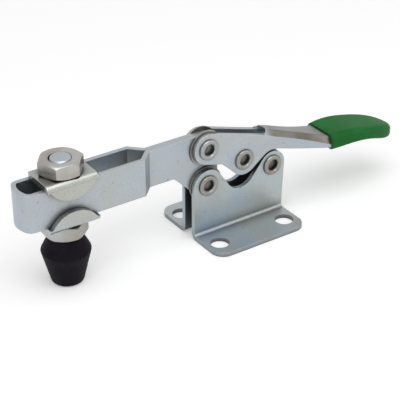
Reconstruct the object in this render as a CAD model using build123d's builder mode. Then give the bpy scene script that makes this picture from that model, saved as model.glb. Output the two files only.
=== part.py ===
"""Horizontal toggle clamp with a slotted bar arm, in millimetres.

+X runs towards the handle grip, -X towards the spindle, +Y to the back and +Z up.
The origin is the middle of the four bolt holes, on the face that is bolted down.
The clamp is shown shut: the arm is level and the rubber tip is at bolt-down level.

Outlines in the upright plane are drawn on Plane.XZ, whose normal is -Y: a sketch
that is offset by d lies at y = -d, towards the front, and extrudes further forward.
"""

import os
from math import acos, cos, degrees, hypot, radians, sin

from build123d import *

os.makedirs("parts", exist_ok=True)

# ---- Sheet, washers and running clearances ----
sheet = 1.5             # base, arm, handle and links are pressed from this
washer_thickness = 0.45
run_gap = 0.03          # between a pivot washer and the part that turns on it
leg_gap = 0.04          # between the two legs of the arm's neck, and between the links
pin_gap = 0.05          # round a pin that its part turns on
seat_gap = 0.02         # round a pin, bush or tang that stays put

# ---- The four pivots ----
arm_pivot_x = -12.3
arm_pivot_z = 19.0
handle_pivot_x = -12.1
handle_pivot_z = 32.0
link_handle_x = 1.95
link_handle_z = 24.2
link_base_x = 13.5
link_base_z = 18.7
arm_open_angle = 86.0   # degrees that the arm swings up from shut

# ---- Rivets ----
shank_radius = 2.4
ring_radius = 3.55      # rolled ring on the front end
ring_height = 0.9
ring_round = 0.6
hollow_radius = 1.9
hollow_lip = 0.4        # bevel inside the ring
hollow_depth = 2.1
hollow_cone = 0.5
head_radius = 3.9       # low round head on the back end
head_height = 1.1
head_edge = 0.25

# ---- Washers at the pivots ----
arm_washer_radius = 6.1
link_washer_radius = 5.0

# ---- Base ----
foot_length = 35.6
foot_width = 36.0       # over both feet
foot_corner = 4.5
bend_radius = 1.0       # inside of the bend between foot and upright
hole_spacing_x = 26.2
hole_spacing_y = 22.6
hole_radius = 3.2
arm_lobe = 5.5          # upright's lobe round the arm pivot
link_lobe = 5.0         # upright's lobe round the link pivot
upright_knee = 4.0      # height where the upright's end starts to lean outwards
swing_gap = 0.35        # between parts that pass each other in the same plane

# ---- Arm ----
bar_bottom = 24.1
bar_lobe = 4.8          # round both pivots, and up to the bar's top edge
nose_x = -79.2
nose_bow = 1.9          # how far the nose stands out from its corners
nose_corner = 3.0
slot_clearance = 0.15   # between the spindle and the bar's inner faces
jog_x = -37.2           # where the walls turn in towards the neck
jog_outer_round = 1.8
jog_neck_round = 1.0
throat_round = 0.8

# ---- Handle ----
handle_lobe = 5.3       # wall's lobe round the handle pivot
drop_lobe = 5.3         # wall's lobe that hangs into the base's valley
drop_offset_x = 0.15    # its centre, from the link's pivot
drop_offset_z = -0.3
waist_x = -6.6          # where the wall's lower edge turns down to that lobe
waist_z = 25.0
waist_round = 2.5
notch_end = 12.1        # how far the open top reaches into the web
notch_half_width = 3.05

# The bevelled web joins the walls' top edges, then the channel widens to the grip.
web_x = 10.2
web_flat_half = 1.75
web_crest = 32.4
web_shoulder = 30.7
web_foot = 25.4
flare_x = 15.5
flare_flat_half = 2.0
flare_crest = 30.5
flare_shoulder = 28.5
flare_foot = 24.2
spread_x = 26.0
spread_half_width = 4.75
spread_flat_half = 2.6
spread_crest = 26.7
spread_shoulder = 24.8
spread_foot = 21.6
mouth_x = 36.5          # where the handle enters the grip
mouth_half_width = 6.4
mouth_flat_half = 4.9
mouth_crest = 23.3
mouth_shoulder = 20.6
mouth_foot = 19.5
tang_x = 54.0           # end of the handle, inside the grip
tang_half_width = 4.9
tang_flat_half = 3.4
tang_crest = 21.0
tang_shoulder = 19.9
tang_foot = 19.2

# ---- Grip ----
skin = 0.6              # vinyl at the mouth, over the handle's top and sides
skin_under = 0.9        # and under its feet
palm_x = 44.0
palm_half_width = 7.4
palm_top = 24.05
palm_bottom = 18.7
heel_x = 53.0
heel_half_width = 7.35
heel_top = 22.45
heel_bottom = 17.9
slope_x = 60.0
slope_half_width = 6.3
slope_top = 20.7
slope_bottom = 15.6
nose_half_width = 3.7   # 2 mm short of the grip's end
nose_top = 17.4
nose_bottom = 13.6
grip_end = 67.3
grip_top_round = 2.2
grip_bottom_round = 1.2

# ---- Links ----
link_eye = 4.25

# ---- Spindle, washers and nuts on the arm ----
spindle_x = -63.3
stud_radius = 3.95
stud_top = 43.6
stud_chamfer = 0.85
thread_gap = 0.05       # between the stud and what it passes through
flange_thickness = 2.0
flange_length = 17.3
flange_back = 5.1       # plate's cut edge, behind the stud
flange_depth = 6.3      # over plate and ear
flange_bend = 0.4       # inside radius of the bend
flange_corner = 0.5
ear_radius = 9.0        # of the ear's rounded edge
ear_clearance = 0.15    # between the ear and the bar
nut_flats = 12.7
nut_thickness = 4.76
nut_chamfer = 0.7       # depth of the corner chamfer along the thread
nut_face_inset = 0.25   # flat ring of a face ends this far inside the flats
nut_countersink = 0.2
top_nut_turn = 51.0     # degrees
bottom_nut_turn = 35.0

# ---- Rubber tip ----
tip_foot_radius = 5.1
tip_foot_round = 1.4
tip_shoulder_radius = 8.0
tip_shoulder_height = 11.5
tip_shoulder_round = 1.0
tip_neck_radius = 5.1
tip_height = 17.2
tip_head_radius = 5.4   # disc head of the stud, moulded in
tip_head_thickness = 2.4
tip_floor = 5.0         # rubber under the disc head

# ---- Worked out from the sizes above; a place in the upright plane is a Vector(X, Z) ----
arm_pivot = Vector(arm_pivot_x, arm_pivot_z)
handle_pivot = Vector(handle_pivot_x, handle_pivot_z)
link_handle_pivot = Vector(link_handle_x, link_handle_z)
link_base_pivot = Vector(link_base_x, link_base_z)
neck_half = sheet + leg_gap / 2
wall_in = neck_half + run_gap + washer_thickness
wall_out = wall_in + sheet
slot_half = stud_radius + slot_clearance
bar_half = slot_half + sheet
bar_top = handle_pivot.Y + bar_lobe
open_arm = radians(arm_open_angle)
arm_reach = handle_pivot - arm_pivot
handle_pivot_open = arm_pivot + Vector(
    arm_reach.X * cos(open_arm) + arm_reach.Y * sin(open_arm),
    arm_reach.Y * cos(open_arm) - arm_reach.X * sin(open_arm),
)
valley_radius = handle_lobe + swing_gap


def touch(centre_a, radius_a, centre_b, radius_b):
    """Ends of the straight edge that runs from circle a to circle b, touching both.

    A radius is positive where its centre is right of the edge, negative where it is left.
    """
    span = centre_b - centre_a
    turn = acos((radius_a - radius_b) / span.length)
    normal = span.normalized().rotate(Axis.Z, degrees(turn))
    return centre_a + normal * radius_a, centre_b + normal * radius_b


def about(centre, start, end):
    """Three points of the shorter arc about centre from start to end."""
    middle = ((start - centre) + (end - centre)).normalized() * (start - centre).length
    return start, centre + middle, end


def finish(piece, name):
    """Labels a finished piece and writes it as its own STEP file."""
    piece.part.label = name
    export_step(piece.part, f"parts/{name}.step")


def finish_back(front, name):
    """Writes the back twin of a front piece."""
    with BuildPart() as back:
        add(mirror(front.part, about=Plane.XZ, mode=Mode.PRIVATE))
    finish(back, name)


# ==== Base: two pressed flanges ====
with BuildPart() as base_flange_front:
    with BuildSketch(Plane.YZ) as bent_section:
        with BuildLine():
            Polyline(
                (-wall_in, arm_pivot.Y + arm_lobe),
                (-wall_out, arm_pivot.Y + arm_lobe),
                (-wall_out, sheet),
                (-foot_width / 2, sheet),
                (-foot_width / 2, 0),
                (-wall_in, 0),
                close=True,
            )
        make_face()
        fillet(bent_section.vertices().sort_by_distance((-wall_out, sheet))[0], bend_radius)
        fillet(bent_section.vertices().sort_by_distance((-wall_in, 0))[0], bend_radius + sheet)
    extrude(amount=foot_length / 2 + link_lobe, both=True)
    with BuildSketch(Plane.XZ):
        left = Vector(-foot_length / 2, upright_knee)
        right = Vector(foot_length / 2, upright_knee)
        rise = touch(left, 0, arm_pivot, arm_lobe)
        dip = touch(arm_pivot, arm_lobe, handle_pivot_open, -valley_radius)
        climb = touch(handle_pivot_open, -valley_radius, link_base_pivot, link_lobe)
        fall = touch(link_base_pivot, link_lobe, right, 0)
        with BuildLine():
            Polyline((left.X, 0), *rise)
            ThreePointArc(*about(arm_pivot, rise[1], dip[0]))
            Line(*dip)
            ThreePointArc(*about(handle_pivot_open, dip[1], climb[0]))
            Line(*climb)
            ThreePointArc(*about(link_base_pivot, climb[1], fall[0]))
            Polyline(*fall, (right.X, 0), (left.X, 0))
        make_face()
    extrude(amount=foot_width, mode=Mode.INTERSECT)
    fillet(base_flange_front.edges().filter_by(Axis.Z).group_by(Axis.Y)[0], foot_corner)
    with BuildSketch():
        with Locations((0, -hole_spacing_y / 2)):
            with GridLocations(hole_spacing_x, 0, 2, 1):
                Circle(hole_radius)
    extrude(amount=sheet, mode=Mode.SUBTRACT)
    with BuildSketch(Plane.XZ.offset(wall_in)):
        with Locations(arm_pivot, link_base_pivot):
            Circle(shank_radius + seat_gap)
    extrude(amount=sheet, mode=Mode.SUBTRACT)
finish(base_flange_front, "base_flange_front")
finish_back(base_flange_front, "base_flange_back")


# ==== Arm: one folded strip ====
with BuildPart() as clamping_arm:
    shoulder_x = nose_x + nose_bow
    neck_x = jog_x + bar_half - neck_half
    beyond_x = arm_pivot.X + 2 * bar_lobe
    with BuildSketch(Plane.XY.offset(arm_pivot.Y - bar_lobe)) as strip_plan:
        with BuildLine():
            ThreePointArc((shoulder_x, bar_half), (nose_x, 0), (shoulder_x, -bar_half))
            Polyline(
                (shoulder_x, -bar_half),
                (jog_x, -bar_half),
                (neck_x, -neck_half),
                (beyond_x, -neck_half),
                (beyond_x, neck_half),
                (neck_x, neck_half),
                (jog_x, bar_half),
                (shoulder_x, bar_half),
            )
        make_face()
        nose_ends, jog_ends, neck_ends, _ = strip_plan.vertices().group_by(Axis.X)
        fillet(nose_ends, nose_corner)
        fillet(jog_ends, jog_outer_round)
        fillet(neck_ends, jog_neck_round)
        offset(amount=-sheet, mode=Mode.SUBTRACT)
    extrude(amount=bar_top - arm_pivot.Y + bar_lobe)
    with BuildSketch(Plane.XZ) as strip_side:
        throat = arm_pivot + Vector(-bar_lobe, 0).rotate(Axis.Z, 45)
        throat_top = Vector(throat.X - (bar_bottom - throat.Y), bar_bottom)
        lobe_top = Vector(handle_pivot.X, bar_top)
        back_edge = touch(handle_pivot, bar_lobe, arm_pivot, bar_lobe)
        under = arm_pivot + Vector(0, -bar_lobe)
        with BuildLine():
            Polyline((nose_x, bar_bottom), (nose_x, bar_top), lobe_top)
            ThreePointArc(*about(handle_pivot, lobe_top, back_edge[0]))
            Line(*back_edge)
            ThreePointArc(*about(arm_pivot, back_edge[1], under))
            ThreePointArc(*about(arm_pivot, under, throat))
            Polyline(throat, throat_top, (nose_x, bar_bottom))
        make_face()
        fillet(strip_side.vertices().sort_by_distance(throat_top)[0], throat_round)
    extrude(amount=bar_half, both=True, mode=Mode.INTERSECT)
    with BuildSketch(Plane.XZ):
        with Locations(arm_pivot, handle_pivot):
            Circle(shank_radius + pin_gap)
    extrude(amount=bar_half, both=True, mode=Mode.SUBTRACT)
finish(clamping_arm, "clamping_arm")


# ==== Handle: a channel, open on top near its pivots ====
class Station:
    """One cross-section of the handle's bevelled channel, at its place along X."""

    def __init__(self, x, half_width, flat_half, crest, shoulder, foot):
        self.x = x
        self.half_width = half_width
        self.flat_half = flat_half
        self.crest = crest
        self.shoulder = shoulder
        self.foot = foot

    def section(self, inset=0.0, foot_drop=0.0):
        """The section with its web and walls moved in by inset and its feet lowered."""
        across = self.half_width - self.flat_half
        up = self.crest - self.shoulder
        bevel = hypot(across, up)
        half_width = self.half_width - inset
        flat_half = self.flat_half - inset * (bevel - across) / up
        shoulder = self.shoulder - inset * (bevel - up) / across
        with BuildSketch(Plane.YZ.offset(self.x)) as outline:
            Polygon(
                (-half_width, self.foot - foot_drop),
                (half_width, self.foot - foot_drop),
                (half_width, shoulder),
                (flat_half, self.crest - inset),
                (-flat_half, self.crest - inset),
                (-half_width, shoulder),
                align=None,
            )
        return outline.sketch


def notch(z, half_width):
    """The rounded end of the open top, at height z and no wider than half_width each way."""
    with BuildSketch(Plane.XY.offset(z)) as outline:
        with BuildLine():
            ThreePointArc((web_x, notch_half_width), (notch_end, 0), (web_x, -notch_half_width))
            Line((web_x, -notch_half_width), (web_x, notch_half_width))
        make_face()
        Rectangle(2 * notch_end, 2 * half_width, mode=Mode.INTERSECT)
    return outline.sketch


drop_centre = link_handle_pivot + Vector(drop_offset_x, drop_offset_z)
clear_radius = link_lobe + 2 * swing_gap
top_edge = touch(handle_pivot, handle_lobe, Vector(web_x, web_shoulder), 0)

web = Station(web_x, wall_out, web_flat_half, web_crest, web_shoulder, web_foot)
flare = Station(flare_x, wall_out, flare_flat_half, flare_crest, flare_shoulder, flare_foot)
spread = Station(
    spread_x, spread_half_width, spread_flat_half, spread_crest, spread_shoulder, spread_foot
)
mouth = Station(mouth_x, mouth_half_width, mouth_flat_half, mouth_crest, mouth_shoulder, mouth_foot)
tang = Station(tang_x, tang_half_width, tang_flat_half, tang_crest, tang_shoulder, tang_foot)
channel_runs = ((web, flare), (flare, spread, mouth), (mouth, tang))

with BuildPart() as handle_lever:
    with BuildSketch(Plane.XZ.offset(wall_in)) as wall:
        waist = Vector(waist_x, waist_z)
        under_edge = touch(link_base_pivot, -clear_radius, drop_centre, drop_lobe)
        drop_edge = touch(drop_centre, drop_lobe, waist, 0)
        waist_edge = touch(waist, 0, handle_pivot, handle_lobe)
        lobe_left = handle_pivot + Vector(-handle_lobe, 0)
        with BuildLine():
            Polyline(*top_edge, (flare_x, flare_shoulder), (flare_x, flare_foot), *under_edge)
            ThreePointArc(*about(drop_centre, under_edge[1], drop_edge[0]))
            Polyline(*drop_edge, waist_edge[1])
            ThreePointArc(*about(handle_pivot, waist_edge[1], lobe_left))
            ThreePointArc(*about(handle_pivot, lobe_left, top_edge[0]))
        make_face()
        fillet(wall.vertices().sort_by_distance(waist)[0], waist_round)
        with Locations(link_base_pivot):
            Circle(clear_radius, mode=Mode.SUBTRACT)
    extrude(amount=sheet)
    mirror(about=Plane.XZ)
    for run in channel_runs:
        loft([station.section() for station in run])
    for run in channel_runs:
        loft([station.section(inset=sheet, foot_drop=sheet) for station in run], mode=Mode.SUBTRACT)
    over_walls = notch(web_shoulder, notch_half_width)
    extrude(over_walls, amount=sheet + web_crest - web_shoulder, mode=Mode.SUBTRACT)
    extrude(notch(web_shoulder - sheet, wall_in), amount=sheet, mode=Mode.SUBTRACT)
    with BuildSketch(Plane.XZ):
        with Locations(handle_pivot, link_handle_pivot):
            Circle(shank_radius + seat_gap)
    extrude(amount=wall_out, both=True, mode=Mode.SUBTRACT)
finish(handle_lever, "handle_lever")


# ==== Grip: a dipped vinyl sleeve ====
with BuildPart() as handle_grip:
    rim_half_width = mouth_half_width + skin
    rim_top = mouth_crest + skin
    rim_bottom = mouth_foot - skin_under
    past_end = grip_end + skin / 2
    with BuildSketch():
        with BuildLine():
            Spline(
                (mouth_x, rim_half_width),
                (palm_x, palm_half_width),
                (heel_x, heel_half_width),
                (slope_x, slope_half_width),
                (grip_end - 2, nose_half_width),
                (grip_end, 0),
                tangents=((1, 0.1), (0, -1)),
            )
            mirror(about=Plane.XZ)
            Line((mouth_x, -rim_half_width), (mouth_x, rim_half_width))
        make_face()
    extrude(amount=2 * mouth_crest)
    with BuildSketch(Plane.XZ.offset(-palm_half_width - skin)):
        with BuildLine():
            Spline(
                (mouth_x, rim_top),
                (palm_x, palm_top),
                (heel_x, heel_top),
                (slope_x, slope_top),
                (past_end, nose_top),
                tangents=((1, 0.15), (1, -0.6)),
            )
            Line((past_end, nose_top), (past_end, nose_bottom))
            Spline(
                (past_end, nose_bottom),
                (slope_x, slope_bottom),
                (heel_x, heel_bottom),
                (palm_x, palm_bottom),
                (mouth_x, rim_bottom),
                tangents=((-1, 0.12), (-1, 0)),
            )
            Line((mouth_x, rim_bottom), (mouth_x, rim_top))
        make_face()
    extrude(amount=2 * (palm_half_width + skin), mode=Mode.INTERSECT)
    under_face, *_, top_face = handle_grip.faces().sort_by(Axis.Z)
    fillet(top_face.edges().sort_by(Axis.X)[1:], grip_top_round)
    fillet(under_face.edges().sort_by(Axis.X)[1:], grip_bottom_round)
    loft([station.section(inset=-seat_gap) for station in (mouth, tang)], mode=Mode.SUBTRACT)
finish(handle_grip, "handle_grip")


# ==== Links, between the arm's plane and the walls ====
with BuildPart() as link_front:
    with BuildSketch(Plane.XZ.offset(leg_gap / 2)):
        with Locations(link_handle_pivot, link_base_pivot):
            Circle(link_eye)
        make_hull()
        with Locations(link_handle_pivot):
            Circle(shank_radius + seat_gap, mode=Mode.SUBTRACT)
        with Locations(link_base_pivot):
            Circle(shank_radius + pin_gap, mode=Mode.SUBTRACT)
    extrude(amount=sheet)
finish(link_front, "link_front")
finish_back(link_front, "link_back")


# ==== Rivets: hollow and rolled into a ring in front, a low round head at the back ====
def ring_end(pivot, inner_y):
    """Half-section of a rivet's front end, from y = inner_y to the rolled ring."""
    tip = -wall_out - ring_height
    with BuildSketch(Plane(origin=(pivot.X, 0, pivot.Y))) as half:
        Polygon(
            (0, tip + hollow_depth + hollow_cone),
            (hollow_radius, tip + hollow_depth),
            (hollow_radius, tip + hollow_lip),
            (hollow_radius + hollow_lip, tip),
            (ring_radius, tip),
            (ring_radius, -wall_out),
            (shank_radius, -wall_out),
            (shank_radius, inner_y),
            (0, inner_y),
            align=None,
        )
        fillet(half.vertices().sort_by_distance((ring_radius, tip))[0], ring_round)
    return half.sketch


def head_end(pivot, inner_y):
    """Half-section of a rivet's back end, from y = inner_y to the crown of its head."""
    rim = Vector(head_radius, wall_out + head_edge)
    crown = Vector(0, wall_out + head_height)
    with BuildSketch(Plane(origin=(pivot.X, 0, pivot.Y))) as half:
        with BuildLine():
            TangentArc(crown, rim, tangent=(1, 0))
            Polyline(
                rim,
                (head_radius, wall_out),
                (shank_radius, wall_out),
                (shank_radius, inner_y),
                (0, inner_y),
                crown,
            )
        make_face()
    return half.sketch


def rivet(pivot, name, *half_sections):
    """Turns the half-sections about the pivot's line and writes the rivet."""
    with BuildPart() as piece:
        revolve(half_sections, axis=Axis((pivot.X, 0, pivot.Y), (0, 1, 0)))
    finish(piece, name)


for pivot, name in (
    (arm_pivot, "arm_pivot_rivet"),
    (handle_pivot, "handle_pivot_rivet"),
    (link_base_pivot, "link_base_rivet"),
):
    rivet(pivot, name, ring_end(pivot, 0), head_end(pivot, 0))

stub_end = neck_half + seat_gap
rivet(link_handle_pivot, "link_handle_stub_front", ring_end(link_handle_pivot, -stub_end))
rivet(link_handle_pivot, "link_handle_stub_back", head_end(link_handle_pivot, stub_end))

with BuildPart() as link_pin_core:
    with BuildSketch(Plane.XZ):
        with Locations(link_handle_pivot):
            Circle(shank_radius)
    extrude(amount=neck_half, both=True)
finish(link_pin_core, "link_pin_core")


# ==== Pivot washers: seated on the walls, clear of the arm and the links ====
pivot_washers = (
    (arm_pivot, arm_washer_radius, "arm_pivot_washer"),
    (handle_pivot, arm_washer_radius, "handle_pivot_washer"),
    (link_handle_pivot, link_washer_radius, "link_handle_washer"),
    (link_base_pivot, link_washer_radius, "link_base_washer"),
)
for pivot, radius, name in pivot_washers:
    with BuildPart() as pivot_washer:
        with BuildSketch(Plane.XZ.offset(neck_half + run_gap)):
            with Locations(pivot):
                Circle(radius)
                Circle(shank_radius + seat_gap, mode=Mode.SUBTRACT)
        extrude(amount=washer_thickness)
    finish(pivot_washer, f"{name}_front")
    finish_back(pivot_washer, f"{name}_back")


# ==== Flanged washers: a plate on the bar with one rounded ear bent round its front wall ====
def flanged_washer(plate_z, up, name):
    """Lies with its inner face at plate_z, with up = 1 above the bar or -1 below it."""
    ear_in = bar_half + ear_clearance
    ear_out = ear_in + flange_thickness
    outer_z = plate_z + up * flange_thickness
    ear_z = outer_z - up * flange_depth
    with BuildPart() as piece:
        with BuildSketch(Plane.YZ.offset(spindle_x)) as bent_strip:
            with BuildLine():
                Polyline(
                    (-ear_out, ear_z),
                    (-ear_out, outer_z),
                    (flange_back, outer_z),
                    (flange_back, plate_z),
                    (-ear_in, plate_z),
                    (-ear_in, ear_z),
                    close=True,
                )
            make_face()
            corners = bent_strip.vertices()
            outer_corner = corners.sort_by_distance((-ear_out, outer_z))[0]
            inner_corner = corners.sort_by_distance((-ear_in, plate_z))[0]
            fillet(outer_corner, flange_bend + flange_thickness)
            fillet(inner_corner, flange_bend)
        extrude(amount=flange_length / 2, both=True)
        with BuildSketch(Plane.XZ):
            with Locations((spindle_x, (plate_z + outer_z) / 2)):
                Rectangle(flange_length, flange_thickness)
            with Locations((spindle_x, ear_z + up * ear_radius)):
                Circle(ear_radius)
        extrude(amount=ear_out, both=True, mode=Mode.INTERSECT)
        with BuildSketch(Plane.XY.offset(min(ear_z, outer_z))):
            with Locations((spindle_x, (flange_back - ear_out) / 2)):
                RectangleRounded(flange_length, flange_back + ear_out, flange_corner)
        extrude(amount=flange_depth, mode=Mode.INTERSECT)
        with BuildSketch(Plane.XY.offset(plate_z)):
            with Locations((spindle_x, 0)):
                Circle(stud_radius + thread_gap)
        extrude(amount=up * flange_thickness, mode=Mode.SUBTRACT)
    finish(piece, name)


flanged_washer(bar_top, 1, "flanged_washer_top")
flanged_washer(bar_bottom, -1, "flanged_washer_bottom")


# ==== Nuts ====
def nut(bottom_z, turn, name):
    """A thin hexagon nut, chamfered and countersunk on both faces."""
    face_radius = nut_flats / 2 - nut_face_inset
    corner_radius = nut_flats / 2 / cos(radians(30))
    bore_radius = stud_radius + thread_gap
    top_z = bottom_z + nut_thickness
    with BuildPart() as piece:
        with BuildSketch(Plane.XY.offset(bottom_z)):
            with Locations((spindle_x, 0)):
                RegularPolygon(nut_flats / 2, 6, major_radius=False, rotation=turn)
        extrude(amount=nut_thickness)
        with BuildSketch(Plane((spindle_x, 0, 0), x_dir=(1, 0, 0), z_dir=(0, -1, 0))):
            Polygon(
                (bore_radius, bottom_z + nut_countersink),
                (bore_radius + nut_countersink, bottom_z),
                (face_radius, bottom_z),
                (corner_radius, bottom_z + nut_chamfer),
                (corner_radius, top_z - nut_chamfer),
                (face_radius, top_z),
                (bore_radius + nut_countersink, top_z),
                (bore_radius, top_z - nut_countersink),
                align=None,
            )
        revolve(axis=Axis((spindle_x, 0, 0), (0, 0, 1)), mode=Mode.INTERSECT)
    finish(piece, name)


nut(bar_top + flange_thickness, top_nut_turn, "top_nut")
nut(bar_bottom - flange_thickness - nut_thickness, bottom_nut_turn, "bottom_nut")


# ==== Spindle: a stud whose disc head is moulded into the rubber tip ====
spindle_plane = Plane((spindle_x, 0, 0), x_dir=(1, 0, 0), z_dir=(0, -1, 0))
spindle_axis = Axis((spindle_x, 0, 0), (0, 0, 1))

with BuildPart() as spindle_stud:
    with BuildSketch(spindle_plane):
        Polygon(
            (0, tip_floor),
            (tip_head_radius, tip_floor),
            (tip_head_radius, tip_floor + tip_head_thickness),
            (stud_radius, tip_floor + tip_head_thickness),
            (stud_radius, stud_top - stud_chamfer),
            (stud_radius - stud_chamfer, stud_top),
            (0, stud_top),
            align=None,
        )
    revolve(axis=spindle_axis)
finish(spindle_stud, "spindle_stud")

with BuildPart() as spindle_tip:
    with BuildSketch(spindle_plane) as tip_half:
        Polygon(
            (0, 0),
            (tip_foot_radius, 0),
            (tip_shoulder_radius, tip_shoulder_height),
            (tip_neck_radius, tip_height),
            (stud_radius, tip_height),
            (stud_radius, tip_floor + tip_head_thickness),
            (tip_head_radius, tip_floor + tip_head_thickness),
            (tip_head_radius, tip_floor),
            (0, tip_floor),
            align=None,
        )
        rounded = (
            ((tip_foot_radius, 0), tip_foot_round),
            ((tip_shoulder_radius, tip_shoulder_height), tip_shoulder_round),
        )
        for corner, radius in rounded:
            fillet(tip_half.vertices().sort_by_distance(corner)[0], radius)
    revolve(axis=spindle_axis)
finish(spindle_tip, "spindle_tip")
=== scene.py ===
"""Finishes and small detail for a hold-down toggle clamp, laid out as an add-on."""

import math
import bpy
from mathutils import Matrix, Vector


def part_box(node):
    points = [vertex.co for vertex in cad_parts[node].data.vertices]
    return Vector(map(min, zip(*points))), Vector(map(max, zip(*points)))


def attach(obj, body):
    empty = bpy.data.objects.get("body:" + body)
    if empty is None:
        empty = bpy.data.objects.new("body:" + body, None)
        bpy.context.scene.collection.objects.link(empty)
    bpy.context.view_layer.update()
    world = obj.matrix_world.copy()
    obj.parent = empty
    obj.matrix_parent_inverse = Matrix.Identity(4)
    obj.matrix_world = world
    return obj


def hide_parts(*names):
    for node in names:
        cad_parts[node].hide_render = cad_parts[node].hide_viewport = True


bl_info = {
    "name": "Toggle clamp finishes",
    "version": (1, 0, 0),
    "blender": (4, 5, 0),
    "location": "3D View > Sidebar > Clamp",
    "description": "Plated steel, rubber, dipped vinyl and cut threads for a toggle clamp, and a studio",
    "category": "Object",
}

import bpy
from mathutils import Matrix, Vector

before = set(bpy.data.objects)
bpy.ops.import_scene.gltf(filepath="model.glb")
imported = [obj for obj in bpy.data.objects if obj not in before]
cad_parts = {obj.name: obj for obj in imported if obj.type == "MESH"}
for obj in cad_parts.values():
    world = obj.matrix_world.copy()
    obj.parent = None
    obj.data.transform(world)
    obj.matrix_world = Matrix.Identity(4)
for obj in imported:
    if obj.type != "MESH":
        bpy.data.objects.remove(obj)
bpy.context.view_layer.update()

MM = 0.001

BASE_NODES = ("base_flange_front", "base_flange_back")
ARM_NODES = ("clamping_arm", "link_front", "link_back")
WASHER_NODES = (
    "arm_pivot_washer_front",
    "arm_pivot_washer_back",
    "handle_pivot_washer_front",
    "handle_pivot_washer_back",
    "link_handle_washer_front",
    "link_handle_washer_back",
    "link_base_washer_front",
    "link_base_washer_back",
)
FLANGED_WASHER_NODES = ("flanged_washer_top", "flanged_washer_bottom")
RIVET_NODES = (
    "arm_pivot_rivet",
    "handle_pivot_rivet",
    "link_base_rivet",
    "link_handle_stub_front",
    "link_handle_stub_back",
    "link_pin_core",
)
NUT_NODES = ("top_nut", "bottom_nut")

# Metals: how much of each surface is metal, and the depth of its grain
SHEET_METALLIC = 0.92
WASHER_METALLIC = 0.9
FASTENER_METALLIC = 0.95
ROLLED_RELIEF = 0.012 * MM
COARSE_RELIEF = 0.016 * MM
THIN_RELIEF = 0.01 * MM

# The plating's pits, its rolled grain and how much its shine varies
PIT_COLOUR = (0.22, 0.21, 0.20)
GRAIN_STRETCH = (120, 900, 1600)
GRAIN_SHARE = 0.35             # of the relief; frosty patches are the rest
SHINE_SPREAD = 0.16

# The rubber and the vinyl: brightness of the mottling over the colour, and how much their shine varies
RUBBER_MOTTLE = 2.2
VINYL_MOTTLE = 1.25
SKIN_SHINE_SPREAD = 0.2

# The handle's walls end at the first place along it, and its back is closed from the second
WALLS_END = 10 * MM
BACK_CLOSED = 14 * MM

# The threads
GROOVE_PAST_CREST = 0.1 * MM   # the groove's tool reaches this far out of the stud
RIDGE_IN_WALL = 0.17 * MM      # the nut's ridge reaches this far into the nut
FACE_MARGIN = 0.04 * MM        # the nut's thread ends this far inside its faces
TRIM_MARGIN = 1 * MM           # the trimming cylinder is this much wider than the thread
SMOOTH_ANGLE = math.radians(32)

# The floor
FLOOR_SIZE = 6
FLOOR_DROP = 0.05 * MM         # below the feet, so that the two don't share a plane
FLOOR_COLOUR = (0.93, 0.93, 0.93, 1)
GLOW_REACH = (0.2, 1.4)        # metres from the clamp between which the floor turns white
GLOW = (0.3, 1.0)
FLOOR_MIRRORED = 0.25          # glow of the floor in the metal
SKY_MIRRORED = 0.5             # glow of the surroundings in the metal, over the ambient light


# ---- Settings ----
class FinishSettings(bpy.types.PropertyGroup):
    """Colours of the clamp's finishes."""

    zinc: bpy.props.FloatVectorProperty(
        name="Zinc plate", description="Zinc plate on the base flanges", subtype="COLOR",
        size=3, min=0, max=1, default=(0.45, 0.505, 0.53),
    )
    zinc_bright: bpy.props.FloatVectorProperty(
        name="Arm and handle",
        description="Brighter zinc plate on the arm, the handle, the links and the stud",
        subtype="COLOR", size=3, min=0, max=1, default=(0.465, 0.512, 0.55),
    )
    # Brown tint with painted shade on the sloping sides of the handle's back
    brown_and_shade: bpy.props.FloatVectorProperty(
        name="Handle's back", description="Brown tint and painted shade along the handle's rounded back", subtype="COLOR",
        size=3, min=0, max=1, default=(0.19, 0.175, 0.145),
    )
    # Painted shade: a near-black colour laid over the plate where parts meet and in the hollows
    painted_shade: bpy.props.FloatVectorProperty(
        name="Painted shade", description="Painted shade where the parts meet and in the hollows", subtype="COLOR",
        size=3, min=0, max=1, default=(0.05, 0.048, 0.055),
    )
    zinc_stain: bpy.props.FloatVectorProperty(
        name="Zinc stain", description="Warm staining of the zinc, and the pivot washers", subtype="COLOR",
        size=3, min=0, max=1, default=(0.46, 0.455, 0.41),
    )
    washer: bpy.props.FloatVectorProperty(
        name="Flanged washers", description="Yellowish zinc plate on the flanged washers", subtype="COLOR",
        size=3, min=0, max=1, default=(0.48, 0.505, 0.47),
    )
    zinc_cool: bpy.props.FloatVectorProperty(
        name="Zinc bloom", description="Bluish patches in the plating", subtype="COLOR",
        size=3, min=0, max=1, default=(0.40, 0.475, 0.57),
    )
    rivet: bpy.props.FloatVectorProperty(
        name="Rivets", description="Dull plate on the rivets", subtype="COLOR",
        size=3, min=0, max=1, default=(0.30, 0.285, 0.25),
    )
    nut: bpy.props.FloatVectorProperty(
        name="Nuts", description="Duller plate on the nuts", subtype="COLOR",
        size=3, min=0, max=1, default=(0.50, 0.49, 0.465),
    )
    nut_stain: bpy.props.FloatVectorProperty(
        name="Nut stain", description="Brown staining of the nuts' plate", subtype="COLOR",
        size=3, min=0, max=1, default=(0.35, 0.32, 0.27),
    )
    rubber: bpy.props.FloatVectorProperty(
        name="Rubber", description="Moulded black rubber of the tip", subtype="COLOR",
        size=3, min=0, max=1, default=(0.0065, 0.005, 0.0085),
    )
    vinyl: bpy.props.FloatVectorProperty(
        name="Vinyl", description="Dipped vinyl of the grip", subtype="COLOR",
        size=3, min=0, max=1, default=(0.017, 0.142, 0.031),
    )


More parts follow.
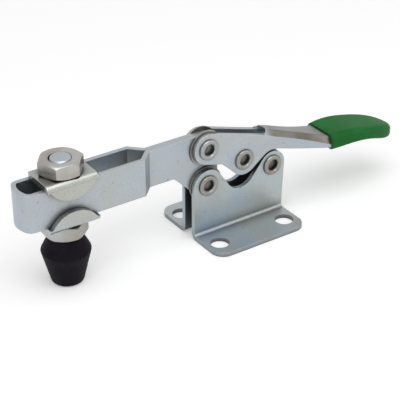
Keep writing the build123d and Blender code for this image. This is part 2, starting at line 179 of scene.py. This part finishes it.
class ThreadSettings(bpy.types.PropertyGroup):
    """Sizes of the thread on the stud and in the nuts."""

    pitch: bpy.props.FloatProperty(
        name="Pitch", description="Distance from one thread to the next", subtype="DISTANCE",
        unit="LENGTH", default=25.4 / 18 * MM, min=0.2 * MM, max=5 * MM, precision=5,
    )
    depth: bpy.props.FloatProperty(
        name="Depth", description="Height of the thread over its root", subtype="DISTANCE",
        unit="LENGTH", default=0.86 * MM, min=0.1 * MM, max=2 * MM, precision=5,
    )
    radius: bpy.props.FloatProperty(
        name="Radius", description="Radius over the stud's thread", subtype="DISTANCE",
        unit="LENGTH", default=3.95 * MM, min=1 * MM, max=10 * MM, precision=5,
    )
    nut_crest: bpy.props.FloatProperty(
        name="Nut's crest", description="Room between the stud's root and the nut's thread",
        subtype="DISTANCE", unit="LENGTH", default=0.3 * MM, min=0, max=1 * MM, precision=5,
    )
    root_flat: bpy.props.FloatProperty(
        name="Root flat", description="Width of the flat at the bottom of the thread", subtype="DISTANCE",
        unit="LENGTH", default=0.18 * MM, min=0.05 * MM, max=1 * MM, precision=5,
    )
    flank: bpy.props.FloatProperty(
        name="Flank angle", description="Angle of each side of the thread", subtype="ANGLE",
        default=math.radians(30), min=math.radians(10), max=math.radians(45),
    )
    clearance: bpy.props.FloatProperty(
        name="Clearance", description="Gap between the stud's thread and the nuts' thread",
        subtype="DISTANCE", unit="LENGTH", default=0.07 * MM, min=0, max=0.3 * MM, precision=5,
    )
    steps: bpy.props.IntProperty(
        name="Steps", description="Steps in one turn of the thread", default=40, min=12, max=96,
    )


class StudioSettings(bpy.types.PropertyGroup):
    """The camera and the light."""

    azimuth: bpy.props.FloatProperty(
        name="Azimuth", description="Camera's turn about the clamp, from straight in front",
        subtype="ANGLE", default=math.radians(-33.914),
    )
    elevation: bpy.props.FloatProperty(
        name="Elevation", description="Camera's height over the floor", subtype="ANGLE",
        default=math.radians(30.365),
    )
    roll: bpy.props.FloatProperty(
        name="Roll", description="Camera's turn about its own line of sight", subtype="ANGLE",
        default=math.radians(-0.213),
    )
    distance: bpy.props.FloatProperty(
        name="Distance", description="From the camera to the point it looks at", subtype="DISTANCE",
        unit="LENGTH", default=429.72 * MM, min=0.1, max=3,
    )
    target: bpy.props.FloatVectorProperty(
        name="Target", description="Point that the camera looks at", subtype="TRANSLATION",
        unit="LENGTH", size=3, default=(-13.747 * MM, 0.0, 11.908 * MM),
    )
    lens: bpy.props.FloatProperty(
        name="Lens", description="Focal length on a 36 mm sensor", subtype="DISTANCE_CAMERA",
        default=117.95, min=20, max=300,
    )
    shift: bpy.props.FloatVectorProperty(
        name="Lens shift", description="Sideways and upward shift of the lens, as a share of the picture",
        size=2, min=-1, max=1, default=(0.0035, 0.0026),
    )
    key_power: bpy.props.FloatProperty(
        name="Key light", description="Power of the overhead soft box", default=4.5, min=0, max=50,
    )
    fill_power: bpy.props.FloatProperty(
        name="Fill light", description="Power of the side soft boxes", default=1.0, min=0, max=50,
    )
    ambient: bpy.props.FloatProperty(
        name="Ambient", description="Strength of the light from all round", default=0.35, min=0, max=3,
    )


# ---- Helpers for pieces ----
def deselect():
    """Leaves nothing selected, because the operators act on all that is."""
    if bpy.context.object and bpy.context.object.mode != "OBJECT":
        bpy.ops.object.mode_set(mode="OBJECT")
    bpy.ops.object.select_all(action="DESELECT")


def pick(piece):
    """Selects one piece alone."""
    deselect()
    piece.select_set(True)
    bpy.context.view_layer.objects.active = piece


def seat(piece):
    """Moves a finished piece's place into its mesh."""
    pick(piece)
    bpy.ops.object.transform_apply(location=True, rotation=True, scale=True)


def joined_copy(node_name, name):
    """A copy of a CAD node with its loose triangles joined, so that it can be cut."""
    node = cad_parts[node_name]
    piece = node.copy()
    piece.data = node.data.copy()
    piece.name = name
    piece.parent = None
    bpy.context.scene.collection.objects.link(piece)
    pick(piece)
    bpy.ops.object.mode_set(mode="EDIT")
    bpy.ops.mesh.select_all(action="SELECT")
    bpy.ops.mesh.remove_doubles(threshold=0.001 * MM)
    bpy.ops.object.mode_set(mode="OBJECT")
    bpy.ops.mesh.customdata_custom_splitnormals_clear()
    return piece


def cap_ends(piece):
    """Caps a mesh's open ends and turns its faces outwards."""
    pick(piece)
    bpy.ops.object.mode_set(mode="EDIT")
    bpy.ops.mesh.select_all(action="SELECT")
    bpy.ops.mesh.fill_holes(sides=0)
    bpy.ops.mesh.select_all(action="SELECT")
    bpy.ops.mesh.normals_make_consistent(inside=False)
    bpy.ops.object.mode_set(mode="OBJECT")


def combine(piece, tool, operation):
    """Cuts a tool from a piece, joins it on or keeps what they share, and takes the tool away."""
    pick(piece)
    work = piece.modifiers.new("work", "BOOLEAN")
    work.operation = operation
    work.solver = "EXACT"
    work.object = tool
    bpy.ops.object.modifier_apply(modifier=work.name)
    bpy.data.objects.remove(tool)


# ---- Helpers for materials ----
def link(tree, start, end):
    """Joins an output socket to an input socket."""
    tree.links.new(start, end)


def feed(tree, value, socket):
    """Gives a socket its value, which is another socket or a number."""
    if isinstance(value, bpy.types.NodeSocket):
        link(tree, value, socket)
    else:
        socket.default_value = value


def group_socket(tree, name, kind, default=None, out=False):
    """Adds a named socket to a node group."""
    socket = tree.interface.new_socket(name=name, in_out="OUTPUT" if out else "INPUT", socket_type=kind)
    if default is not None:
        socket.default_value = default


def surface_outputs(tree):
    """Adds the three outputs that a finish has."""
    group_socket(tree, "Colour", "NodeSocketColor", out=True)
    group_socket(tree, "Roughness", "NodeSocketFloat", out=True)
    group_socket(tree, "Height", "NodeSocketFloat", out=True)


def ramp(tree, value, ends, results=(0.0, 1.0)):
    """Eases from one result to the other while the value goes from one end to the other."""
    node = tree.nodes.new("ShaderNodeMapRange")
    node.interpolation_type = "SMOOTHSTEP"
    link(tree, value, node.inputs["Value"])
    node.inputs["From Min"].default_value, node.inputs["From Max"].default_value = ends
    node.inputs["To Min"].default_value, node.inputs["To Max"].default_value = results
    return node.outputs["Result"]


def maths(tree, operation, *values):
    """A math node's result on its values, which are sockets or numbers."""
    node = tree.nodes.new("ShaderNodeMath")
    node.operation = operation
    for value, socket in zip(values, node.inputs):
        feed(tree, value, socket)
    return node.outputs[0]


def blend_colours(tree, mask, first, second):
    """Mixes two colours, given as sockets or values, by a mask."""
    node = tree.nodes.new("ShaderNodeMix")
    node.data_type = "RGBA"
    link(tree, mask, node.inputs["Factor"])
    for name, value in (("A", first), ("B", second)):
        socket = next(s for s in node.inputs if s.name == name and s.type == "RGBA")
        if isinstance(value, bpy.types.NodeSocket):
            link(tree, value, socket)
        else:
            socket.default_value = (*value, 1)
    return next(s for s in node.outputs if s.type == "RGBA")


def noise(tree, coordinates, scale, detail):
    """A noise texture's value on the given coordinates."""
    node = tree.nodes.new("ShaderNodeTexNoise")
    feed(tree, scale, node.inputs["Scale"])
    node.inputs["Detail"].default_value = detail
    link(tree, coordinates, node.inputs["Vector"])
    return node.outputs[0]


def stretched(tree, coordinates, stretch):
    """The coordinates scaled by a different amount along each axis."""
    node = tree.nodes.new("ShaderNodeMapping")
    node.inputs["Scale"].default_value = stretch
    link(tree, coordinates, node.inputs["Vector"])
    return node.outputs["Vector"]


def new_group(name):
    """An empty node group with its input and output nodes."""
    tree = bpy.data.node_groups.new(name, "ShaderNodeTree")
    return tree, tree.nodes.new("NodeGroupInput"), tree.nodes.new("NodeGroupOutput")


def plated_metal_group():
    """Cloudy plating with warm stains, specks, a faint rolled grain and painted shade in the recesses."""
    tree, inside, outside = new_group("plated_metal")
    group_socket(tree, "Colour", "NodeSocketColor", (0.7, 0.7, 0.7, 1))
    group_socket(tree, "Stain", "NodeSocketColor", (0.6, 0.58, 0.5, 1))
    group_socket(tree, "Stain amount", "NodeSocketFloat", 0.5)
    group_socket(tree, "Bloom", "NodeSocketColor", (0.5, 0.55, 0.6, 1))
    group_socket(tree, "Painted shade", "NodeSocketColor", (0.05, 0.05, 0.05, 1))
    group_socket(tree, "Shade reach", "NodeSocketFloat", 5 * MM)
    group_socket(tree, "Roughness", "NodeSocketFloat", 0.35)
    surface_outputs(tree)
    place = tree.nodes.new("ShaderNodeTexCoord").outputs["Object"]

    # Bluish bloom, then warm clouds of stain over it
    bloom = ramp(tree, noise(tree, place, scale=60, detail=3), ends=(0.34, 0.52), results=(0.6, 0.0))
    cooled = blend_colours(tree, bloom, inside.outputs["Colour"], inside.outputs["Bloom"])
    clouds = ramp(tree, noise(tree, place, scale=95, detail=4), ends=(0.38, 0.68))
    stain = maths(tree, "MULTIPLY", clouds, inside.outputs["Stain amount"])
    stained = blend_colours(tree, stain, cooled, inside.outputs["Stain"])

    # Fine speckle all over and a few dark specks
    speckle = ramp(tree, noise(tree, place, scale=1900, detail=2), ends=(0.45, 0.75), results=(0.0, 0.16))
    specks = ramp(tree, noise(tree, place, scale=1000, detail=1), ends=(0.73, 0.77), results=(0.0, 0.6))
    pits = maths(tree, "MAXIMUM", speckle, specks)
    pitted = blend_colours(tree, pits, stained, PIT_COLOUR)

    # Painted shade: the colour darkens towards near-black where other surfaces are near
    shade_occlusion = tree.nodes.new("ShaderNodeAmbientOcclusion")
    shade_occlusion.samples = 8
    link(tree, inside.outputs["Shade reach"], shade_occlusion.inputs["Distance"])
    shade_mask = ramp(tree, shade_occlusion.outputs["AO"], ends=(0.2, 0.93), results=(0.95, 0.0))
    shade_painted = blend_colours(tree, shade_mask, pitted, inside.outputs["Painted shade"])
    link(tree, shade_painted, outside.inputs["Colour"])

    # Frosty patches that vary the shine, and a grain drawn out along the sheet
    grain = noise(tree, stretched(tree, place, GRAIN_STRETCH), scale=1.0, detail=3)
    frost = noise(tree, place, scale=420, detail=3)
    uneven = maths(tree, "MULTIPLY_ADD", frost, SHINE_SPREAD, -SHINE_SPREAD / 2)
    worn = maths(tree, "ADD", inside.outputs["Roughness"], uneven)
    link(tree, worn, outside.inputs["Roughness"])
    rolled = maths(tree, "MULTIPLY", grain, GRAIN_SHARE)
    relief = maths(tree, "ADD", rolled, maths(tree, "MULTIPLY", frost, 1 - GRAIN_SHARE))
    link(tree, maths(tree, "SUBTRACT", relief, pits), outside.inputs["Height"])
    return tree


def back_tint_and_shade_group():
    """A mask of brown tint and painted shade over the sloping sides of the handle's closed back, set by
    which way the faces point, weaker along its flat crest.
    """
    tree, _, outside = new_group("back_tint_and_shade")
    group_socket(tree, "Mask", "NodeSocketFloat", out=True)
    place = tree.nodes.new("ShaderNodeTexCoord")
    facing = tree.nodes.new("ShaderNodeSeparateXYZ")
    along = tree.nodes.new("ShaderNodeSeparateXYZ")
    link(tree, place.outputs["Normal"], facing.inputs[0])
    link(tree, place.outputs["Object"], along.inputs[0])
    # Painted shade: strongest on the bevels between the walls and the crest
    sloping = ramp(tree, facing.outputs["Z"], ends=(0.2, 0.5))
    crest = ramp(tree, facing.outputs["Z"], ends=(0.88, 0.98), results=(1.0, 0.55))
    closed = ramp(tree, along.outputs["X"], ends=(WALLS_END, BACK_CLOSED))
    cloud = ramp(
        tree, noise(tree, place.outputs["Object"], scale=160, detail=3), ends=(0.3, 0.6), results=(0.8, 1.0)
    )
    sides = maths(tree, "MULTIPLY", sloping, crest)
    patchy = maths(tree, "MULTIPLY", sides, cloud)
    link(tree, maths(tree, "MULTIPLY", patchy, closed), outside.inputs["Mask"])
    return tree


def soft_skin_group():
    """A moulded or dipped skin: slow mottling that also varies its shine, and a fine grain."""
    tree, inside, outside = new_group("soft_skin")
    group_socket(tree, "Colour", "NodeSocketColor", (0.1, 0.1, 0.1, 1))
    group_socket(tree, "Mottle", "NodeSocketColor", (0.2, 0.2, 0.2, 1))
    group_socket(tree, "Mottle scale", "NodeSocketFloat", 150.0)
    group_socket(tree, "Grain scale", "NodeSocketFloat", 1800.0)
    group_socket(tree, "Roughness", "NodeSocketFloat", 0.5)
    surface_outputs(tree)
    place = tree.nodes.new("ShaderNodeTexCoord").outputs["Object"]

    mottle = noise(tree, place, inside.outputs["Mottle scale"], detail=4)
    patches = ramp(tree, mottle, ends=(0.40, 0.72))
    coloured = blend_colours(tree, patches, inside.outputs["Colour"], inside.outputs["Mottle"])
    link(tree, coloured, outside.inputs["Colour"])
    dulled = maths(tree, "MULTIPLY_ADD", mottle, SKIN_SHINE_SPREAD, -SKIN_SHINE_SPREAD / 2)
    link(tree, maths(tree, "ADD", inside.outputs["Roughness"], dulled), outside.inputs["Roughness"])
    link(tree, noise(tree, place, inside.outputs["Grain scale"], detail=2), outside.inputs["Height"])
    return tree


def group_material(name, group, values, metallic, relief, edge, specular=0.5):
    """A material whose colour, roughness and relief come from a node group.

    relief is the bump's depth and edge the radius over which sharp edges look rounded.
    """
    material = bpy.data.materials.new(name)
    material.use_nodes = True
    tree = material.node_tree
    shader = tree.nodes["Principled BSDF"]
    finish = tree.nodes.new("ShaderNodeGroup")
    finish.node_tree = group
    for socket, value in values.items():
        finish.inputs[socket].default_value = (*value, 1) if hasattr(value, "__len__") else value
    shader.inputs["Metallic"].default_value = metallic
    shader.inputs["Specular IOR Level"].default_value = specular
    bump = tree.nodes.new("ShaderNodeBump")
    bump.inputs["Strength"].default_value = 1.0
    bump.inputs["Distance"].default_value = relief
    bevel = tree.nodes.new("ShaderNodeBevel")
    bevel.samples = 6
    bevel.inputs["Radius"].default_value = edge
    link(tree, finish.outputs["Colour"], shader.inputs["Base Color"])
    link(tree, finish.outputs["Roughness"], shader.inputs["Roughness"])
    link(tree, finish.outputs["Height"], bump.inputs["Height"])
    link(tree, bevel.outputs["Normal"], bump.inputs["Normal"])
    link(tree, bump.outputs["Normal"], shader.inputs["Normal"])
    return material


def dress(node_names, material):
    """Gives CAD nodes one material."""
    for name in node_names:
        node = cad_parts[name]
        node.data.materials.clear()
        node.data.materials.append(material)


# ---- The finishes ----
class CLAMP_OT_pressed_steel(bpy.types.Operator):
    """Zinc plate on the pressed flanges, arm, handle, links and washers"""

    bl_idname = "clamp.pressed_steel"
    bl_label = "Pressed steel"

    def execute(self, context):
        finish = context.scene.clamp_finish
        tree = plated_metal_group()
        sheet = {
            "Colour": finish.zinc,
            "Stain": finish.zinc_stain,
            "Stain amount": 0.55,
            "Bloom": finish.zinc_cool,
            # Painted shade: near-black over the plate where other surfaces lie within the reach
            "Painted shade": finish.painted_shade,
            "Shade reach": 7 * MM,
            "Roughness": 0.36,
        }
        base_plate = group_material(
            "zinc_base", tree, sheet, metallic=SHEET_METALLIC, relief=ROLLED_RELIEF, edge=0.25 * MM
        )
        dress(BASE_NODES, base_plate)
        bright = {**sheet, "Colour": finish.zinc_bright, "Stain amount": 0.4}
        arm_plate = group_material(
            "zinc_arm", tree, bright, metallic=SHEET_METALLIC, relief=ROLLED_RELIEF, edge=0.25 * MM
        )
        dress(ARM_NODES, arm_plate)
        # Painted shade reaches less far inside the handle's channel
        channel = {**bright, "Shade reach": 2.5 * MM}
        handle = group_material(
            "zinc_handle", tree, channel, metallic=SHEET_METALLIC, relief=ROLLED_RELIEF, edge=0.45 * MM
        )
        self.brown_and_shade(handle, finish.brown_and_shade)
        dress(("handle_lever",), handle)
        washer = {
            **sheet,
            "Colour": finish.washer,
            "Stain amount": 0.6,
            "Bloom": finish.zinc,
            "Roughness": 0.25,
        }
        flanged_plate = group_material(
            "zinc_flanged_washer", tree, washer, metallic=SHEET_METALLIC, relief=COARSE_RELIEF, edge=0.3 * MM
        )
        dress(FLANGED_WASHER_NODES, flanged_plate)
        thin = {**sheet, "Colour": finish.zinc_stain, "Stain": finish.rivet, "Stain amount": 0.8}
        pivot_plate = group_material(
            "pivot_washer_plate", tree, thin, metallic=WASHER_METALLIC, relief=THIN_RELIEF, edge=0.1 * MM
        )
        dress(WASHER_NODES, pivot_plate)
        return {"FINISHED"}

    def brown_and_shade(self, material, colour):
        """Lays the brown tint and painted shade over the handle's closed back."""
        tree = material.node_tree
        shader = tree.nodes["Principled BSDF"]
        mask = tree.nodes.new("ShaderNodeGroup")
        mask.node_tree = back_tint_and_shade_group()
        plated = shader.inputs["Base Color"].links[0].from_socket
        # Brown tint and painted shade mixed over the plate by the mask
        cast = blend_colours(tree, mask.outputs["Mask"], plated, colour)
        link(tree, cast, shader.inputs["Base Color"])


class CLAMP_OT_fasteners(bpy.types.Operator):
    """Dull plate on the rivets and nuts, and bright plate on the stud"""

    bl_idname = "clamp.fasteners"
    bl_label = "Rivets, nuts and stud"

    def execute(self, context):
        finish = context.scene.clamp_finish
        tree = bpy.data.node_groups["plated_metal"]
        rivet = {
            "Colour": finish.rivet,
            "Stain": finish.zinc,
            "Stain amount": 0.5,
            "Bloom": finish.rivet,
            # Painted shade in the rivets' hollows and round their rings
            "Painted shade": finish.painted_shade,
            "Shade reach": 2.8 * MM,
            "Roughness": 0.3,
        }
        rivet_plate = group_material(
            "rivet_plate", tree, rivet, metallic=FASTENER_METALLIC, relief=ROLLED_RELIEF, edge=0.2 * MM
        )
        dress(RIVET_NODES, rivet_plate)
        nut = {
            "Colour": finish.nut,
            "Stain": finish.nut_stain,
            "Stain amount": 0.85,
            "Bloom": finish.zinc,
            # Painted shade where the nuts meet the stud and the washers
            "Painted shade": finish.painted_shade,
            "Shade reach": 2.5 * MM,
            "Roughness": 0.3,
        }
        nut_plate = group_material(
            "nut_plate", tree, nut, metallic=FASTENER_METALLIC, relief=COARSE_RELIEF, edge=0.25 * MM
        )
        dress(NUT_NODES, nut_plate)
        stud = {**nut, "Colour": finish.zinc_bright, "Stain amount": 0.2, "Shade reach": 1.2 * MM}
        stud_plate = group_material(
            "stud_plate", tree, stud, metallic=FASTENER_METALLIC, relief=ROLLED_RELIEF, edge=0.05 * MM
        )
        dress(("spindle_stud",), stud_plate)
        return {"FINISHED"}


class CLAMP_OT_threads(bpy.types.Operator):
    """Thread cut on the stud and in both nuts"""

    bl_idname = "clamp.threads"
    bl_label = "Threads"

    def execute(self, context):
        thread = context.scene.clamp_thread
        bottom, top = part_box("spindle_stud")
        middle = (bottom + top) / 2
        root = thread.radius - thread.depth
        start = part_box("spindle_tip")[1].z + thread.pitch / 2
        turns = math.ceil((top.z - start) / thread.pitch) + 1
        groove = self.helix(
            thread,
            start=(middle.x, middle.y, start),
            inner=root,
            outer=thread.radius + GROOVE_PAST_CREST,
            clearance=0.0,
            turns=turns,
        )
        stud = joined_copy("spindle_stud", "threaded_stud")
        combine(stud, groove, "DIFFERENCE")
        self.fit(stud, "spindle", "spindle_stud")

        for node in NUT_NODES:
            lower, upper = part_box(node)
            first = start + thread.pitch * math.floor((lower.z - start) / thread.pitch - 1)
            ridge = self.helix(
                thread,
                start=(middle.x, middle.y, first),
                inner=root + thread.nut_crest,
                outer=thread.radius + RIDGE_IN_WALL,
                clearance=thread.clearance,
                turns=math.ceil((upper.z - first) / thread.pitch) + 1,
            )
            self.trim(
                ridge, middle, lower.z + FACE_MARGIN, upper.z - FACE_MARGIN, thread.radius + TRIM_MARGIN
            )
            nut = joined_copy(node, node.replace("_nut", "_threaded_nut"))
            combine(nut, ridge, "UNION")
            self.fit(nut, "carriage", node)
        return {"FINISHED"}

    def helix(self, thread, start, inner, outer, clearance, turns):
        """A closed ridge of thread wound round the stud's axis, narrow at the inner radius."""
        root = thread.radius - thread.depth
        narrow, wide = (
            thread.root_flat + 2 * ((radius - root) * math.tan(thread.flank) - clearance)
            for radius in (inner, outer)
        )
        centre = (outer + inner) / 2
        deselect()
        bpy.ops.mesh.primitive_plane_add(size=1, location=start, rotation=(math.pi / 2, 0, 0))
        ridge = bpy.context.object
        bpy.ops.object.transform_apply(location=False, rotation=True, scale=False)
        bpy.ops.object.mode_set(mode="EDIT")
        bpy.ops.transform.resize(value=(outer - inner, 1, wide))
        bpy.ops.transform.translate(value=(centre, 0, 0))
        bpy.ops.mesh.select_all(action="DESELECT")
        bpy.ops.object.mode_set(mode="OBJECT")
        for vertex in ridge.data.vertices:
            vertex.select = vertex.co.x < centre
        bpy.ops.object.mode_set(mode="EDIT")
        bpy.ops.transform.resize(value=(1, 1, narrow / wide))
        bpy.ops.mesh.select_all(action="SELECT")
        bpy.ops.mesh.delete(type="ONLY_FACE")
        bpy.ops.object.mode_set(mode="OBJECT")
        wind = ridge.modifiers.new("wind", "SCREW")
        wind.axis = "Z"
        wind.screw_offset = thread.pitch
        wind.iterations = turns
        wind.steps = wind.render_steps = thread.steps
        bpy.ops.object.modifier_apply(modifier=wind.name)
        cap_ends(ridge)
        seat(ridge)
        return ridge

    def trim(self, ridge, middle, low, high, radius):
        """Cuts the ridge off square at two heights."""
        deselect()
        bpy.ops.mesh.primitive_cylinder_add(
            vertices=64, radius=radius, depth=high - low, location=(middle.x, middle.y, (low + high) / 2)
        )
        room = bpy.context.object
        seat(room)
        combine(ridge, room, "INTERSECT")

    def fit(self, piece, body, node):
        """Smooths a threaded piece and puts it in the place of its CAD node."""
        pick(piece)
        bpy.ops.object.shade_smooth_by_angle(angle=SMOOTH_ANGLE)
        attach(piece, body)
        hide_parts(node)


class CLAMP_OT_rubber_tip(bpy.types.Operator):
    """Moulded black rubber on the spindle's tip"""

    bl_idname = "clamp.rubber_tip"
    bl_label = "Rubber tip"

    def execute(self, context):
        finish = context.scene.clamp_finish
        values = {
            "Colour": finish.rubber,
            "Mottle": tuple(RUBBER_MOTTLE * channel for channel in finish.rubber),
            "Mottle scale": 260.0,
            "Grain scale": 1500.0,
            "Roughness": 0.6,
        }
        skin = soft_skin_group()
        rubber = group_material(
            "moulded_rubber", skin, values, metallic=0.0, relief=0.05 * MM, edge=0.5 * MM, specular=0.09
        )
        dress(("spindle_tip",), rubber)
        return {"FINISHED"}


class CLAMP_OT_vinyl_grip(bpy.types.Operator):
    """Dipped vinyl on the handle's grip"""

    bl_idname = "clamp.vinyl_grip"
    bl_label = "Vinyl grip"

    def execute(self, context):
        finish = context.scene.clamp_finish
        values = {
            "Colour": finish.vinyl,
            "Mottle": tuple(VINYL_MOTTLE * channel for channel in finish.vinyl),
            "Mottle scale": 120.0,
            "Grain scale": 900.0,
            "Roughness": 0.46,
        }
        skin = bpy.data.node_groups["soft_skin"]
        vinyl = group_material(
            "dipped_vinyl", skin, values, metallic=0.0, relief=0.03 * MM, edge=0.6 * MM, specular=0.08
        )
        dress(("handle_grip",), vinyl)
        return {"FINISHED"}


# ---- The studio ----
def soft_box(name, place, size, power, target):
    """A square area lamp that faces the target."""
    lamp = bpy.data.lights.new(name, "AREA")
    lamp.shape = "SQUARE"
    lamp.size = size
    lamp.energy = power
    holder = bpy.data.objects.new(name, lamp)
    bpy.context.scene.collection.objects.link(holder)
    holder.location = place
    holder.rotation_euler = (target - Vector(place)).to_track_quat("-Z", "Y").to_euler()


class CLAMP_OT_studio(bpy.types.Operator):
    """Pale floor, soft light and the camera"""

    bl_idname = "clamp.studio"
    bl_label = "Studio"

    def execute(self, context):
        studio = context.scene.clamp_studio
        self.floor()
        self.world(context.scene, studio.ambient)
        target = Vector(studio.target)
        soft_box("overhead_box", (-0.1, -0.25, 0.9), size=0.9, power=studio.key_power, target=target)
        soft_box("left_box", (-0.9, -0.5, 0.35), size=0.5, power=studio.fill_power, target=target)
        soft_box("right_box", (0.7, -0.7, 0.4), size=0.5, power=studio.fill_power, target=target)
        self.camera(context.scene, studio, target)
        context.scene.view_settings.view_transform = "Standard"
        return {"FINISHED"}

    def floor(self):
        """A wide pale floor that keeps the clamp's shadow and looks white away from it."""
        deselect()
        bpy.ops.mesh.primitive_plane_add(size=FLOOR_SIZE, location=(0, 0, -FLOOR_DROP))
        floor = bpy.context.object
        floor.name = "floor"
        material = bpy.data.materials.new("pale_floor")
        material.use_nodes = True
        tree = material.node_tree
        shader = tree.nodes["Principled BSDF"]
        shader.inputs["Base Color"].default_value = FLOOR_COLOUR
        shader.inputs["Roughness"].default_value = 0.9
        shader.inputs["Emission Color"].default_value = (1, 1, 1, 1)
        path = tree.nodes.new("ShaderNodeLightPath")
        far = tree.nodes.new("ShaderNodeVectorMath")
        far.operation = "LENGTH"
        link(tree, tree.nodes.new("ShaderNodeTexCoord").outputs["Object"], far.inputs[0])
        spread = ramp(tree, far.outputs["Value"], ends=GLOW_REACH, results=GLOW)
        seen = maths(tree, "MULTIPLY", path.outputs["Is Camera Ray"], spread)
        mirrored = maths(tree, "MULTIPLY", path.outputs["Is Glossy Ray"], FLOOR_MIRRORED)
        link(tree, maths(tree, "ADD", seen, mirrored), shader.inputs["Emission Strength"])
        floor.data.materials.append(material)
        seat(floor)

    def world(self, scene, ambient):
        """Even light all round, seen as white by the camera and nearly white in the metal."""
        world = bpy.data.worlds.new("studio_world")
        world.use_nodes = True
        tree = world.node_tree
        background = tree.nodes["Background"]
        background.inputs["Color"].default_value = (1, 1, 1, 1)
        path = tree.nodes.new("ShaderNodeLightPath")
        mirrored = maths(tree, "MULTIPLY", path.outputs["Is Glossy Ray"], SKY_MIRRORED)
        seen = maths(tree, "MULTIPLY", path.outputs["Is Camera Ray"], 1 - ambient)
        extra = maths(tree, "ADD", mirrored, seen)
        link(tree, maths(tree, "ADD", extra, ambient), background.inputs["Strength"])
        scene.world = world

    def camera(self, scene, studio, target):
        """The camera, at its bearing and distance from the target."""
        azimuth, elevation = studio.azimuth, studio.elevation
        back = Vector((
            math.sin(azimuth) * math.cos(elevation),
            -math.cos(azimuth) * math.cos(elevation),
            math.sin(elevation),
        ))
        lens = bpy.data.cameras.new("camera")
        lens.lens = studio.lens
        lens.sensor_width = 36
        lens.shift_x, lens.shift_y = studio.shift
        lens.clip_start = 0.01
        camera = bpy.data.objects.new("camera", lens)
        scene.collection.objects.link(camera)
        camera.location = target + back * studio.distance
        facing = (-back).to_track_quat("-Z", "Y").to_matrix()
        camera.rotation_euler = (facing @ Matrix.Rotation(studio.roll, 3, "Z")).to_euler()
        scene.camera = camera


# ---- Panel and registration ----
class CLAMP_PT_finishes(bpy.types.Panel):
    """Lists the clamp's finishes in the sidebar"""

    bl_label = "Toggle clamp"
    bl_space_type = "VIEW_3D"
    bl_region_type = "UI"
    bl_category = "Clamp"

    def draw(self, context):
        for operator in OPERATORS:
            self.layout.operator(operator.bl_idname)
        for settings in (context.scene.clamp_finish, context.scene.clamp_thread, context.scene.clamp_studio):
            for name in settings.bl_rna.properties.keys():
                if name not in ("rna_type", "name"):
                    self.layout.prop(settings, name)


OPERATORS = (
    CLAMP_OT_pressed_steel,
    CLAMP_OT_fasteners,
    CLAMP_OT_threads,
    CLAMP_OT_rubber_tip,
    CLAMP_OT_vinyl_grip,
    CLAMP_OT_studio,
)
CLASSES = (FinishSettings, ThreadSettings, StudioSettings, *OPERATORS, CLAMP_PT_finishes)


def register():
    """Registers the classes and puts their settings on the scene."""
    for cls in CLASSES:
        bpy.utils.register_class(cls)
    bpy.types.Scene.clamp_finish = bpy.props.PointerProperty(type=FinishSettings)
    bpy.types.Scene.clamp_thread = bpy.props.PointerProperty(type=ThreadSettings)
    bpy.types.Scene.clamp_studio = bpy.props.PointerProperty(type=StudioSettings)


def unregister():
    """Takes the settings and the classes away again."""
    del bpy.types.Scene.clamp_finish
    del bpy.types.Scene.clamp_thread
    del bpy.types.Scene.clamp_studio
    for cls in reversed(CLASSES):
        bpy.utils.unregister_class(cls)


def main():
    """Registers the classes and makes every finish in order."""
    register()
    bpy.ops.clamp.pressed_steel()
    bpy.ops.clamp.fasteners()
    bpy.ops.clamp.threads()
    bpy.ops.clamp.rubber_tip()
    bpy.ops.clamp.vinyl_grip()
    bpy.ops.clamp.studio()


if __name__ == "__main__":
    main()
